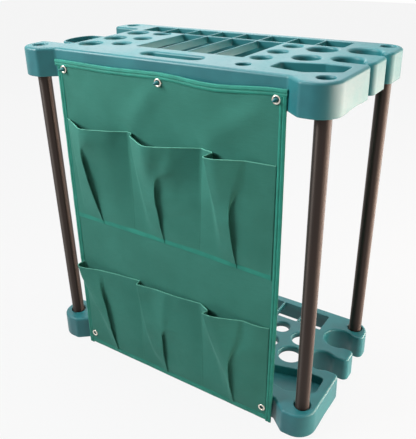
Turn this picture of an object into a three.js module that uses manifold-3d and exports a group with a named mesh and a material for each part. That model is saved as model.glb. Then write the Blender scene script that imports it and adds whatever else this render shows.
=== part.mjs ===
// Freestanding garden tool rack: two moulded trays on four push-fit tubes, with a pocket panel hung in front.
// Lengths are millimetres. x runs to the right and y to the back for someone facing the pockets, z is up.
// Places are worked out from the middle of the four tubes, and the finished rack is then centred on its own box.
import * as THREE from 'three';
import { mergeVertices } from 'three/addons/utils/BufferGeometryUtils.js';
import Module from 'manifold-3d';

// Driving dimensions of the whole rack
const rackHeight = 760;
const tubeSpanX = 666;
const tubeSpanY = 316;
const tubeDiameter = 30;
const tubeWall = 1.2;
const fit = 0.3;
const overrun = 5;

// Trays: plan of the outline, measured from the tube axes
const trayHeight = 60;
const trayWall = 3;
const deckThickness = 3;
const wallDraft = 1;
const edgeRadius = 4;
const sideReach = 32;
const lobeFrontReach = 40;
const recessReach = 14;
const backReach = 30;
const lobeFrontEnd = 29;
const recessEnd = 60;
const leftRecessEnd = 50;
const lobeInnerReach = 40;
const lobeCornerRadius = 30;
const backCornerRadius = 32;
const lipRadius = 12;
const neckRadius = 14;
const bendRadius = 12;

// Trays: sockets for the tubes
const socketWall = 3;
const mouthRadius = 18.2;
const mouthDepth = 9;
const ledgeThickness = 3;
const ledgeRadius = 11;
const cupFloor = 3;
const gussetThickness = 2.5;
const gussetLift = 6;

// Trays: holes in the deck, with collars below them
const collarDepth = 15;
const recessCollarDepth = 28;
const collarWall = 2.5;
const rimFlare = 3;
const ribThickness = 3;
const slotRadius = 2;
const slotPitch = 66;
const slotCount = 4;
const slotStart = 82;
const cellPitch = 65.5;
const cellCount = 8;
const cellDepth = 62;
const cellBackReach = 7;
const crossRibWidth = 6;
const gripLength = 143;
const gripWidth = 37;
const gripStart = 33;
const leftLargeRadius = 25;
const leftLargeInset = 90;
const leftLargeShares = [0.2, 0.456, 0.712];
const leftSmallRadius = 20;
const leftSmallInset = 153;
const leftSmallShares = [0.297, 0.525, 0.753];
const loneHoleRadius = 14;
const loneHoleStart = 28;
const rightSmallRadius = 20;
const pocketCornerRadius = 9;
const pocketFloorDepth = 22;

// What differs between the two trays on their right sides: insets from the right tube axes, places as shares of
// the depth between the tubes, and the lips of a keyhole's mouth as shares of its radius from its middle
const topSide = {
  smallInset: 170,
  smallShares: [0.304, 0.519, 0.734],
  largeHoles: [{ inset: 95, startShare: 0.424, radius: 26 }, { inset: 102, startShare: 0.712, radius: 30 }],
  keyholes: [
    { inset: 23, startShare: 0.494, radius: 28, lipShares: [-1, -0.36] },
    { inset: 23, startShare: 0.782, radius: 31, lipShares: [-1, 0.06] },
  ],
};
const baseSide = {
  smallInset: 161,
  smallShares: [0.297, 0.5, 0.703],
  largeHoles: [{ inset: 95, startShare: 0.43, radius: 28 }, { inset: 96, startShare: 0.646, radius: 25 }],
  keyholes: [
    { inset: 23, startShare: 0.494, radius: 33, lipShares: [-0.79, 0.79] },
    { inset: 18, startShare: 0.804, radius: 35, lipShares: [-0.8, 0.71] },
  ],
};

// The six-cornered recess in the right front corner, as shares of its box
const recessInset = 119;
const recessStartShare = 0.06;
const recessLength = 128;
const recessDepthShare = 0.253;
const recessCornerShares = [[0, 0.16], [0.54, 0], [1, 0.36], [0.99, 1], [0.6, 1], [0, 0.74]];

// Arch in the lower edge of the right wall, and the loop on the left edge of the top tray
const archStart = 12;
const archLength = 86;
const archHeight = 3;
const loopStart = 46;
const loopLength = 104;
const loopFlank = 22;
const loopBow = 32;
const loopWall = 4;
const loopHeight = 30;

// Pegs for the panel's eyelets
const pegRadius = 3.9;
const pegTipRadius = 0.9;
const pegLength = 18;
const pegConeLength = 11;

// Hung panel and its bindings
const clothThickness = 1;
const panelSideGap = 4;
const panelShift = 4;
const panelDrop = 24;
const groundGap = 5;
const panelLean = 12;
const topWave = 4;
const topSag = 6;
const leftBowShare = 0.3;
const topWaveFade = 150;
const bindingWidth = 12;
const tapeWidth = 9;
const washerThickness = 0.8;

// Eyelets
const eyeletRadius = 8.4;
const eyeletHoleRadius = 4.6;
const eyeletBarrelWall = 0.7;
const eyeletCrown = 1.7;
const lowEyeletInset = 21;
const lowEyeletRise = 31;
const eyeletRelief = 0.5;

// Pocket strips: heights, then the pleat of each pocket as shares of its width and of the bulge
const upperMouthDrop = 131;
const upperMouthFall = 6;
const upperFootShare = 0.383;
const lowerMouthHeight = 247;
const pocketBulge = 43;
const footEaseShare = 0.9;
const slitStepShare = 0.04;
const slitDropShare = 0.4;
const slitBellyShare = 0.16;
const tailShare = 0.55;
const upperPleatShares = [
  { apex: 0.36, apexBulge: 0.78, shoulder: 0.6, shoulderBulge: 0.5, foot: 0.44 },
  { apex: 0.4, apexBulge: 1, shoulder: 0.68, shoulderBulge: 0.7, foot: 0.45 },
  { apex: 0.16, apexBulge: 0.65, shoulder: 0.56, shoulderBulge: 0.3, foot: 0.41 },
];
const lowerPleatShares = [
  { apex: 0.04, apexBulge: 0.48, shoulder: 0.33, shoulderBulge: 0.34, foot: 0.44 },
  { apex: 0.04, apexBulge: 0.34, shoulder: 0.38, shoulderBulge: 0.26, foot: 0.38 },
  { apex: 0.08, apexBulge: 0.52, shoulder: 0.53, shoulderBulge: 0.28, foot: 0.45 },
];

// How finely round things are faceted
const arcSag = 0.4;
const tubeSides = 20;
const eyeletSides = 12;
const panelColumns = 20;
const panelRows = 10;
const pocketRows = 9;
const bindingSteps = 20;

// Sizes that follow from the ones above
const tubeRadius = tubeDiameter / 2;
const tubeX = tubeSpanX / 2;
const tubeY = tubeSpanY / 2;
const rightFace = tubeX + sideReach;
const lobeFront = -tubeY - lobeFrontReach;
const recessFront = -tubeY - recessReach;
const backFace = tubeY + backReach;
const topTrayFloor = rackHeight - trayHeight;
const socketRadius = (tubeRadius + fit) / Math.cos(Math.PI / tubeSides);
const tubeTop = rackHeight - mouthDepth - ledgeThickness - fit;
const tubeFloor = cupFloor + fit;
const panelWidth = tubeSpanX - 2 * recessEnd - 2 * panelSideGap;
const panelLeft = panelShift - panelWidth / 2;
const panelRight = panelShift + panelWidth / 2;
const panelTop = rackHeight - panelDrop;
const upperMouthHeight = panelTop - upperMouthDrop;
const upperFootHeight = lowerMouthHeight + (upperMouthHeight - lowerMouthHeight) * upperFootShare;
const barrelRadius = eyeletHoleRadius + eyeletBarrelWall;
const layer = clothThickness + fit;
const panelFrontAtTop = recessFront - wallDraft - fit - washerThickness - layer - fit - clothThickness;
const hemInset = bindingWidth + fit;
const pocketLeft = panelLeft + hemInset;
const pocketWidth = (panelWidth - 2 * hemInset) / upperPleatShares.length;
const topEyeletSetback = hemInset + barrelRadius;
const topEyeletXs = [panelLeft + topEyeletSetback, panelShift, panelRight - topEyeletSetback];
const topEyeletHeight = panelTop - topEyeletSetback;
const lowEyeletXs = [panelLeft + lowEyeletInset, panelRight - lowEyeletInset];
const lowEyeletHeight = groundGap + lowEyeletRise;

// Materials, as the photograph shows them
const trayPlastic = new THREE.MeshStandardMaterial({ color: 0x1f5a5a, roughness: 0.42, metalness: 0 });
const blackSteel = new THREE.MeshStandardMaterial({ color: 0x1c1616, roughness: 0.35, metalness: 0.4 });
const greenCloth = new THREE.MeshStandardMaterial({ color: 0x2f6e5c, roughness: 0.9, metalness: 0 });
const greenTape = new THREE.MeshStandardMaterial({ color: 0x1f8068, roughness: 0.8, metalness: 0 });
const nickel = new THREE.MeshStandardMaterial({ color: 0xd8d4c8, roughness: 0.25, metalness: 1 });

const wasm = await Module();
wasm.setup();

// A solid from a closed geometry, with its shared points merged
function solidOf(geometry) {
  geometry.deleteAttribute('normal');
  geometry.deleteAttribute('uv');
  const merged = mergeVertices(geometry);
  return new wasm.Manifold(new wasm.Mesh({
    numProp: 3,
    vertProperties: merged.attributes.position.array,
    triVerts: new Uint32Array(merged.index.array),
  }));
}

// A named mesh from a solid
function meshOf(name, solid, material) {
  const result = solid.getMesh();
  const geometry = new THREE.BufferGeometry();
  geometry.setAttribute('position', new THREE.BufferAttribute(result.vertProperties, 3));
  geometry.setIndex(new THREE.BufferAttribute(result.triVerts, 1));
  geometry.computeVertexNormals();
  const mesh = new THREE.Mesh(geometry, material);
  mesh.name = name;
  return mesh;
}

// A closed body through rings of 3-D points; flat is the ring's outline used to close its two ends
function loft(rings, flat) {
  const count = flat.length;
  const positions = [];
  const index = [];
  for (const ring of rings) {
    for (const point of ring) positions.push(point.x, point.y, point.z);
  }
  for (let level = 0; level + 1 < rings.length; level++) {
    for (let i = 0; i < count; i++) {
      const low = level * count + i;
      const lowNext = level * count + (i + 1) % count;
      index.push(low, lowNext, lowNext + count, low, lowNext + count, low + count);
    }
  }
  const last = (rings.length - 1) * count;
  for (const [a, b, c] of THREE.ShapeUtils.triangulateShape(flat, [])) {
    index.push(a, c, b, last + a, last + b, last + c);
  }
  const geometry = new THREE.BufferGeometry();
  geometry.setAttribute('position', new THREE.Float32BufferAttribute(positions, 3));
  geometry.setIndex(index);
  return geometry;
}

// A body with level rings: each level is [outline, height], and every outline runs anticlockwise
function stacked(levels) {
  const rings = levels.map(([outline, z]) => outline.map((point) => new THREE.Vector3(point.x, point.y, z)));
  return solidOf(loft(rings, levels[0][0]));
}

// The outline moved inwards by a distance, or outwards when it is negative
function inset(outline, distance) {
  return outline.map((point, i) => {
    const before = outline[(i + outline.length - 1) % outline.length];
    const after = outline[(i + 1) % outline.length];
    const arriving = point.clone().sub(before).normalize();
    const leaving = after.clone().sub(point).normalize();
    const normals = new THREE.Vector2(-arriving.y - leaving.y, arriving.x + leaving.x);
    return point.clone().addScaledVector(normals, distance / (1 + arriving.dot(leaving)));
  });
}

// An outline from corners [x, y, radius], each rounded by an arc where its radius isn't zero
function rounded(corners) {
  const outline = [];
  corners.forEach(([x, y, radius], i) => {
    const corner = new THREE.Vector2(x, y);
    if (!radius) {
      outline.push(corner);
      return;
    }
    const [beforeX, beforeY] = corners[(i + corners.length - 1) % corners.length];
    const [afterX, afterY] = corners[(i + 1) % corners.length];
    const arriving = corner.clone().sub(new THREE.Vector2(beforeX, beforeY)).normalize();
    const leaving = new THREE.Vector2(afterX, afterY).sub(corner).normalize();
    const turn = Math.atan2(arriving.cross(leaving), arriving.dot(leaving));
    const side = Math.sign(turn);
    const start = corner.clone().addScaledVector(arriving, -radius * Math.tan(Math.abs(turn) / 2));
    const centre = start.clone().add(new THREE.Vector2(-arriving.y, arriving.x).multiplyScalar(side * radius));
    const steps = Math.ceil(Math.abs(turn) / arcStep(radius));
    for (let k = 0; k <= steps; k++) {
      outline.push(start.clone().rotateAround(centre, (turn * k) / steps));
    }
  });
  return outline;
}

// The angle that one straight piece of an arc may span before it strays from the arc by the sag
function arcStep(radius) {
  return 2 * Math.acos(1 - Math.min(arcSag / radius, 1 / 2));
}

function circle(x, y, radius, sides = Math.ceil((2 * Math.PI) / arcStep(radius))) {
  const outline = [];
  for (let i = 0; i < sides; i++) {
    const angle = (2 * Math.PI * (i + 1 / 2)) / sides;
    outline.push(new THREE.Vector2(x + radius * Math.cos(angle), y + radius * Math.sin(angle)));
  }
  return outline;
}

function rectangle(left, front, right, back, radius) {
  return rounded([[left, front, radius], [right, front, radius], [right, back, radius], [left, back, radius]]);
}

function box(left, front, low, right, back, high) {
  return stacked([[rectangle(left, front, right, back, 0), low], [rectangle(left, front, right, back, 0), high]]);
}

// The y at a share of the depth between the front and back tube axes
function depthAt(share) {
  return tubeSpanY * share - tubeY;
}

// The fillet between a keyhole's eye and a lip at a height from the eye's middle: the angle on the eye where it
// starts, and its points from there to the lip. It ends before the lip's rounded mouth
function neckFillet(eyeX, radius, lip) {
  const reach = rightFace - lipRadius - eyeX;
  const soft = Math.min(neckRadius, ((reach * reach) / (radius - lip) - radius - lip) / 2);
  const middleX = Math.sqrt((radius + soft) ** 2 - (lip + soft) ** 2);
  const start = Math.atan2(lip + soft, middleX);
  const turn = Math.PI / 2 - start;
  const steps = Math.ceil(turn / arcStep(soft));
  const points = [];
  for (let k = 1; k <= steps; k++) {
    const angle = Math.PI + start + (turn * k) / steps;
    points.push([middleX + soft * Math.cos(angle), lip + soft + soft * Math.sin(angle)]);
  }
  return { start, points };
}

// The corners of one keyhole in the right wall: in along its lower lip, round its eye, out along its upper lip
function keyholeCorners({ inset: eyeInset, startShare, radius, lipShares: [lowShare, highShare] }) {
  const eyeX = tubeX - eyeInset;
  const eyeY = depthAt(startShare);
  const low = neckFillet(eyeX, radius, -radius * lowShare);
  const high = neckFillet(eyeX, radius, radius * highShare);
  const turn = 2 * Math.PI - low.start - high.start;
  const steps = Math.ceil(turn / arcStep(radius));
  const corners = low.points.map(([x, y]) => [eyeX + x, eyeY - y, 0]);
  corners.push([rightFace, eyeY + radius * lowShare, lipRadius]);
  corners.reverse();
  for (let k = 0; k <= steps; k++) {
    const angle = -low.start - (turn * k) / steps;
    corners.push([eyeX + radius * Math.cos(angle), eyeY + radius * Math.sin(angle), 0]);
  }
  for (const [x, y] of high.points) corners.push([eyeX + x, eyeY + y, 0]);
  corners.push([rightFace, eyeY + radius * highShare, lipRadius]);
  return corners;
}

// The tray's outline, anticlockwise from the front left lobe
function trayOutline(side) {
  return rounded([
    [-rightFace, lobeFront, lobeCornerRadius],
    [lobeFrontEnd - tubeX, lobeFront, bendRadius],
    [recessEnd - tubeX, recessFront, bendRadius],
    [tubeX - recessEnd, recessFront, bendRadius],
    [tubeX - lobeFrontEnd, lobeFront, bendRadius],
    [rightFace, lobeFront, lobeCornerRadius],
    ...side.keyholes.flatMap(keyholeCorners),
    [rightFace, backFace, backCornerRadius],
    [-rightFace, backFace, backCornerRadius],
    [-rightFace, tubeY - lobeInnerReach, lipRadius],
    [leftRecessEnd - tubeX, tubeY - lobeInnerReach, lipRadius],
    [leftRecessEnd - tubeX, lobeInnerReach - tubeY, lipRadius],
    [-rightFace, lobeInnerReach - tubeY, lipRadius],
  ]);
}

// The moulded shell: deck, rounded top edge and drafted walls, open below
function trayShell(outline) {
  const soft = edgeRadius * (1 - Math.SQRT1_2);
  const outside = stacked([
    [inset(outline, -wallDraft), 0],
    [outline, trayHeight - edgeRadius],
    [inset(outline, soft), trayHeight - soft],
    [inset(outline, edgeRadius), trayHeight],
  ]);
  const inside = stacked([
    [inset(outline, trayWall - wallDraft), -overrun],
    [inset(outline, trayWall), trayHeight - deckThickness],
  ]);
  return outside.subtract(inside);
}

// A row of equal openings with ribs between them: one collar round the row, and a cutter for each opening
function openingRow(count, pitch, front, back) {
  const end = (count * pitch) / 2;
  const cuts = [];
  for (let i = 0; i < count; i++) {
    const left = i * pitch - end + ribThickness / 2;
    cuts.push(rectangle(left, front, left + pitch - ribThickness, back, slotRadius));
  }
  const collar = rectangle(-end, front - collarWall, end, back + collarWall, 0);
  return { collar, cuts };
}

// The four long slots and, behind them, the row of cells
function gridRows() {
  const cellBack = tubeY + cellBackReach;
  const cellFront = cellBack - cellDepth;
  return [
    openingRow(slotCount, slotPitch, slotStart - tubeY, cellFront - crossRibWidth),
    openingRow(cellCount, cellPitch, cellFront, cellBack),
  ];
}

// Every other through hole of a tray: its outline and how far its rim flares
function deckHoles(side) {
  const holes = [];
  const column = (x, shares, radius) => {
    for (const share of shares) holes.push([circle(x, depthAt(share), radius), rimFlare]);
  };
  column(leftLargeInset - tubeX, leftLargeShares, leftLargeRadius);
  column(leftSmallInset - tubeX, leftSmallShares, leftSmallRadius);
  column(tubeX - side.smallInset, side.smallShares, rightSmallRadius);
  for (const { inset: holeInset, startShare, radius } of side.largeHoles) {
    column(tubeX - holeInset, [startShare], radius);
  }
  holes.push([circle(tubeX - side.smallInset, loneHoleStart - tubeY, loneHoleRadius), rimFlare / 2]);
  const gripY = gripStart - tubeY;
  const gripEnd = gripLength / 2;
  const gripHalf = gripWidth / 2;
  holes.push([rectangle(-gripEnd, gripY - gripHalf, gripEnd, gripY + gripHalf, gripHalf - fit), rimFlare]);
  return holes;
}

// The recess in the right front corner, as an outline
function cornerRecess() {
  const left = tubeX - recessInset;
  return rounded(recessCornerShares.map(([across, along]) => (
    [left + across * recessLength, depthAt(recessStartShare + along * recessDepthShare), pocketCornerRadius])));
}

// A cutter for one hole, flared at the deck's face
function holeCutter(outline, flare, low) {
  if (!flare) return stacked([[outline, low], [outline, trayHeight + overrun]]);
  const wide = inset(outline, -flare);
  return stacked([[outline, low], [outline, trayHeight - flare], [wide, trayHeight], [wide, trayHeight + overrun]]);
}

function holeCollar(outline, depth) {
  const around = inset(outline, -collarWall);
  return stacked([[around, trayHeight - depth], [around, trayHeight - deckThickness / 2]]);
}

// A round bar that points forward out of the front wall, with a cone at its end
function forwardPeg(x, z, length, coneLength) {
  const root = recessFront + trayWall / 2;
  const tip = recessFront - length;
  const cone = Math.max(coneLength, fit);
  const bar = stacked([
    [circle(x, z, pegRadius, eyeletSides), -root],
    [circle(x, z, pegRadius, eyeletSides), -tip - cone],
    [circle(x, z, coneLength ? pegTipRadius : pegRadius - fit, eyeletSides), -tip],
  ]);
  return bar.transform([1, 0, 0, 0, 0, 0, 1, 0, 0, -1, 0, 0, 0, 0, 0, 1]);
}

// The arch that lightens the lower edge of the right wall
function wallArch() {
  const middle = archStart + archLength / 2 - tubeY;
  const half = archLength / 2;
  const radius = (half * half + archHeight * archHeight) / (2 * archHeight);
  const sides = Math.ceil((2 * Math.PI) / arcStep(radius));
  const round = new THREE.CylinderGeometry(radius, radius, 2 * sideReach, sides);
  round.rotateZ(Math.PI / 2);
  round.translate(rightFace, middle, archHeight - radius);
  return solidOf(round);
}

// The open loop on the left edge: straight flanks and an elliptical bow
function sideLoop() {
  const middle = loopStart + loopLength / 2 - tubeY;
  const wallX = leftRecessEnd - tubeX;
  const bow = (shrink) => {
    const half = loopLength / 2 - shrink;
    const outline = [new THREE.Vector2(wallX + trayWall / 2, middle + half)];
    const steps = Math.ceil(Math.PI / arcStep(loopBow));
    for (let k = 0; k <= steps; k++) {
      const angle = Math.PI / 2 + (Math.PI * k) / steps;
      outline.push(new THREE.Vector2(
        wallX - loopFlank + (loopBow - shrink) * Math.cos(angle), middle + half * Math.sin(angle)));
    }
    outline.push(new THREE.Vector2(wallX + trayWall / 2, middle - half));
    return outline;
  };
  const outside = stacked([[bow(0), trayHeight - loopHeight], [bow(0), trayHeight - fit]]);
  const inside = stacked([[bow(loopWall), 0], [bow(loopWall), trayHeight + overrun]]);
  return outside.subtract(inside);
}

// One socket: the boss with its two gussets, and what is cut out of it
function socketBody(x, y) {
  const boss = circle(x, y, socketRadius + socketWall, tubeSides);
  const wallX = Math.sign(x) * (rightFace - trayWall / 2);
  const wallY = y < 0 ? lobeFront + trayWall / 2 : backFace - trayWall / 2;
  const half = gussetThickness / 2;
  const high = trayHeight - deckThickness / 2;
  const across = box(Math.min(x, wallX), y - half, gussetLift, Math.max(x, wallX), y + half, high);
  const along = box(x - half, Math.min(y, wallY), gussetLift, x + half, Math.max(y, wallY), high);
  return stacked([[boss, 0], [boss, high]]).add(across).add(along);
}

function topSocketCut(x, y) {
  const bore = circle(x, y, socketRadius, tubeSides);
  const ledge = circle(x, y, ledgeRadius, tubeSides);
  const mouth = circle(x, y, mouthRadius, tubeSides);
  const seat = trayHeight - mouthDepth;
  return stacked([
    [bore, -overrun],
    [bore, seat - ledgeThickness],
    [ledge, seat - ledgeThickness],
    [ledge, seat],
    [bore, seat],
    [mouth, trayHeight],
    [mouth, trayHeight + overrun],
  ]);
}

function cupSocketCut(x, y) {
  const bore = circle(x, y, socketRadius, tubeSides);
  const mouth = circle(x, y, mouthRadius, tubeSides);
  return stacked([
    [bore, cupFloor],
    [bore, trayHeight - mouthDepth],
    [mouth, trayHeight - mouthDepth / 2],
    [mouth, trayHeight + overrun],
  ]);
}

const tubePlaces = [
  ['front_left_tube', -tubeX, -tubeY],
  ['front_right_tube', tubeX, -tubeY],
  ['back_left_tube', -tubeX, tubeY],
  ['back_right_tube', tubeX, tubeY],
];

// A tray's body: shell, collars and sockets joined, then every hole cut
function trayBody(side, socketCut, pocketDepth) {
  const holes = deckHoles(side);
  const rows = gridRows();
  const recess = cornerRecess();
  const low = trayHeight - collarDepth;
  const high = trayHeight - deckThickness / 2;
  let body = trayShell(trayOutline(side));
  for (const { collar } of rows) body = body.add(stacked([[collar, low], [collar, high]]));
  for (const [outline] of holes) body = body.add(holeCollar(outline, collarDepth));
  body = body.add(holeCollar(recess, pocketDepth ? pocketDepth + deckThickness : recessCollarDepth));
  for (const [, x, y] of tubePlaces) body = body.add(socketBody(x, y));
  for (const cut of rows.flatMap(({ cuts }) => cuts)) body = body.subtract(holeCutter(cut, 0, -overrun));
  for (const [outline, flare] of holes) body = body.subtract(holeCutter(outline, flare, -overrun));
  body = body.subtract(holeCutter(recess, rimFlare / 2, pocketDepth ? trayHeight - pocketDepth : -overrun));
  for (const [, x, y] of tubePlaces) body = body.subtract(socketCut(x, y));
  return body.subtract(wallArch());
}

function makeTopTray() {
  let body = trayBody(topSide, topSocketCut, 0).add(sideLoop());
  for (const x of topEyeletXs) {
    body = body.add(forwardPeg(x, topEyeletHeight - topTrayFloor, pegLength, pegConeLength));
  }
  const mesh = meshOf('top_tray', body, trayPlastic);
  mesh.position.z = topTrayFloor;
  return mesh;
}

function makeBaseTray() {
  let body = trayBody(baseSide, cupSocketCut, pocketFloorDepth);
  for (const x of lowEyeletXs) {
    const length = recessFront - panelFront(x, lowEyeletHeight);
    body = body.add(forwardPeg(x, lowEyeletHeight, length, 0));
  }
  return meshOf('base_tray', body, trayPlastic);
}

// A hollow tube between the two trays' seats
function makeTube([name, x, y]) {
  const profile = [
    new THREE.Vector2(tubeRadius - tubeWall, tubeFloor),
    new THREE.Vector2(tubeRadius, tubeFloor),
    new THREE.Vector2(tubeRadius, tubeTop),
    new THREE.Vector2(tubeRadius - tubeWall, tubeTop),
    new THREE.Vector2(tubeRadius - tubeWall, tubeFloor),
  ];
  const geometry = new THREE.LatheGeometry(profile, tubeSides);
  geometry.rotateX(Math.PI / 2);
  const mesh = meshOf(name, solidOf(geometry), blackSteel);
  mesh.position.set(x, y, 0);
  return mesh;
}

// How much of the cloth's slack shows at a place between the top eyelets: none at an eyelet, most halfway
function bowAt(x) {
  const gap = x < panelShift ? topEyeletXs[1] - topEyeletXs[0] : topEyeletXs[2] - topEyeletXs[1];
  const along = (x - panelShift) / gap;
  if (Math.abs(along) > 1) return 0;
  return (along < 0 ? leftBowShare : 1) * Math.sin(Math.PI * along) ** 2;
}

// The height of the hung panel's top edge, which sags between its eyelets
function panelEdge(x) {
  return panelTop - topSag * bowAt(x);
}

// The y of the hung panel's front face: it leans out to the foot and bows out between the top eyelets
function panelFront(x, z) {
  const fall = (panelTop - z) / (panelTop - groundGap);
  const wave = topWave * bowAt(x) * Math.exp((z - panelTop) / topWaveFade);
  return panelFrontAtTop - panelLean * fall - wave;
}

// A thin sheet from a grid of front points: its back lies one thickness behind, square to the sheet in plan
function sheetSolid(grid, thickness) {
  const rows = grid.length;
  const columns = grid[0].length;
  const positions = [];
  const index = [];
  const back = grid.map((row) => row.map((point, i) => {
    const before = row[Math.max(0, i - 1)];
    const after = row[Math.min(columns - 1, i + 1)];
    const along = new THREE.Vector2(after.x - before.x, after.y - before.y).normalize();
    return new THREE.Vector3(point.x - along.y * thickness, point.y + along.x * thickness, point.z);
  }));
  for (const side of [grid, back]) {
    for (const row of side) {
      for (const point of row) positions.push(point.x, point.y, point.z);
    }
  }
  const at = (side, j, i) => (side * rows + j) * columns + i;
  const quad = (a, b, c, d) => index.push(a, b, c, a, c, d);
  for (let j = 0; j + 1 < rows; j++) {
    for (let i = 0; i + 1 < columns; i++) {
      quad(at(0, j, i), at(0, j, i + 1), at(0, j + 1, i + 1), at(0, j + 1, i));
      quad(at(1, j, i), at(1, j + 1, i), at(1, j + 1, i + 1), at(1, j, i + 1));
    }
    quad(at(0, j, 0), at(0, j + 1, 0), at(1, j + 1, 0), at(1, j, 0));
    quad(at(0, j, columns - 1), at(1, j, columns - 1), at(1, j + 1, columns - 1), at(0, j + 1, columns - 1));
  }
  for (let i = 0; i + 1 < columns; i++) {
    quad(at(0, 0, i), at(1, 0, i), at(1, 0, i + 1), at(0, 0, i + 1));
    quad(at(0, rows - 1, i), at(0, rows - 1, i + 1), at(1, rows - 1, i + 1), at(1, rows - 1, i));
  }
  const geometry = new THREE.BufferGeometry();
  geometry.setAttribute('position', new THREE.Float32BufferAttribute(positions, 3));
  geometry.setIndex(index);
  return solidOf(geometry);
}

// A hole through the cloth for an eyelet's barrel
function eyeletHole(x, z) {
  const round = new THREE.CylinderGeometry(barrelRadius + fit, barrelRadius + fit, panelLean * overrun, eyeletSides);
  round.translate(x, panelFront(x, z), z);
  return solidOf(round);
}

function makePanel() {
  const grid = [];
  for (let j = 0; j <= panelRows; j++) {
    const row = [];
    for (let i = 0; i <= panelColumns; i++) {
      const x = panelLeft + (panelWidth * i) / panelColumns;
      const z = groundGap + ((panelEdge(x) - groundGap) * j) / panelRows;
      row.push(new THREE.Vector3(x, panelFront(x, z), z));
    }
    grid.push(row);
  }
  let body = sheetSolid(grid, clothThickness);
  for (const x of topEyeletXs) body = body.subtract(eyeletHole(x, topEyeletHeight));
  for (const x of lowEyeletXs) body = body.subtract(eyeletHole(x, lowEyeletHeight));
  return meshOf('pocket_panel', body, greenCloth);
}

// One pocket's cross-section at a height share from foot to mouth, as [share of its width, bulge]
function pleatSection(pleat, rise) {
  const opening = rise ** footEaseShare;
  const swing = rise * rise * (3 - 2 * rise);
  const apex = pleat.foot - slitStepShare + (pleat.apex - pleat.foot + slitStepShare) * swing;
  const shoulder = pleat.foot + (pleat.shoulder - pleat.foot) * swing;
  const apexBulge = pocketBulge * pleat.apexBulge * opening;
  const belly = slitBellyShare * Math.sin(Math.PI * rise);
  const shoulderBulge = pocketBulge * (pleat.shoulderBulge * opening + belly);
  const step = shoulder + slitStepShare;
  return [
    [0, 0],
    [apex * tailShare, apexBulge * tailShare],
    [apex, apexBulge],
    [(apex + shoulder) / 2, (apexBulge + shoulderBulge) / 2],
    [shoulder, shoulderBulge],
    [step, shoulderBulge * slitDropShare],
    [(step + 1) / 2, shoulderBulge * slitDropShare * tailShare],
  ];
}

// Where a pocket strip's front face lies at one height, from its left end to its right end
function pocketRow(pleats, rise, foot, mouth, fall) {
  const row = [];
  const add = (x, bulge) => {
    const drop = (bulge * bulge) / (2 * (mouth - foot)) + (fall * (x - pocketLeft)) / panelWidth;
    const z = foot + (mouth - foot - drop) * rise;
    row.push(new THREE.Vector3(x, panelFront(x, z) - fit - clothThickness - bulge, z));
  };
  pleats.forEach((pleat, k) => {
    for (const [share, bulge] of pleatSection(pleat, rise)) {
      add(pocketLeft + (k + share) * pocketWidth, bulge);
    }
  });
  add(pocketLeft + pleats.length * pocketWidth, 0);
  return row;
}

function pocketStrip(pleats, foot, mouth, fall) {
  const grid = [];
  for (let j = 0; j <= pocketRows; j++) grid.push(pocketRow(pleats, j / pocketRows, foot, mouth, fall));
  return sheetSolid(grid, clothThickness);
}

function makeUpperPockets() {
  const strip = pocketStrip(upperPleatShares, upperFootHeight, upperMouthHeight, upperMouthFall);
  return meshOf('upper_pocket_strip', strip, greenCloth);
}

function makeLowerPockets() {
  let strip = pocketStrip(lowerPleatShares, groundGap + hemInset, lowerMouthHeight, 0);
  for (const x of lowEyeletXs) strip = strip.subtract(eyeletHole(x, lowEyeletHeight));
  return meshOf('lower_pocket_strip', strip, greenCloth);
}

// The folded tape's section: how far in from the sheet's edge, and how far back from the sheet's front
function bindingSection() {
  const hem = clothThickness;
  return [
    [bindingWidth, -fit - hem],
    [-fit - hem, -fit - hem],
    [-fit - hem, hem + fit + hem],
    [bindingWidth, hem + fit + hem],
    [bindingWidth, hem + fit],
    [-fit, hem + fit],
    [-fit, -fit],
    [bindingWidth, -fit],
  ];
}

// A tape folded over an edge of the panel: place(share, inwards) gives the x and z of a point on the sheet
function binding(name, place, flip) {
  const section = bindingSection();
  const flat = section.map(([inwards, back]) => new THREE.Vector2(inwards * flip, back));
  if (THREE.ShapeUtils.isClockWise(flat)) {
    section.reverse();
    flat.reverse();
  }
  const rings = [];
  for (let k = 0; k <= bindingSteps; k++) {
    rings.push(section.map(([inwards, back]) => {
      const [x, z] = place(k / bindingSteps, inwards);
      const [edgeX, edgeZ] = place(k / bindingSteps, 0);
      return new THREE.Vector3(x, panelFront(edgeX, edgeZ) + back, z);
    }));
  }
  return meshOf(name, solidOf(loft(rings, flat)), greenTape);
}

function makeBindings() {
  const low = groundGap;
  const inner = bindingWidth + fit;
  const across = (share) => panelLeft + inner + (panelWidth - 2 * inner) * share;
  const up = (share) => low + (panelTop - low) * share;
  return [
    binding('left_binding', (share, inwards) => [panelLeft + inwards, up(share)], 1),
    binding('right_binding', (share, inwards) => [panelRight - inwards, up(share)], -1),
    binding('top_binding', (share, inwards) => [across(share), panelEdge(across(share)) - inwards], 1),
    binding('bottom_binding', (share, inwards) => [across(share), low + inwards], -1),
  ];
}

// The flat tape sewn along the foot of the upper pockets
function makeSeamTape() {
  const grid = [];
  const high = upperFootHeight - fit;
  for (const z of [high - tapeWidth, high]) {
    const row = [];
    for (let i = 0; i <= panelColumns; i++) {
      const x = pocketLeft + (pocketWidth * upperPleatShares.length * i) / panelColumns;
      row.push(new THREE.Vector3(x, panelFront(x, z) - fit - clothThickness, z));
    }
    grid.push(row);
  }
  return meshOf('upper_seam_tape', sheetSolid(grid, clothThickness), greenTape);
}

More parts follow.
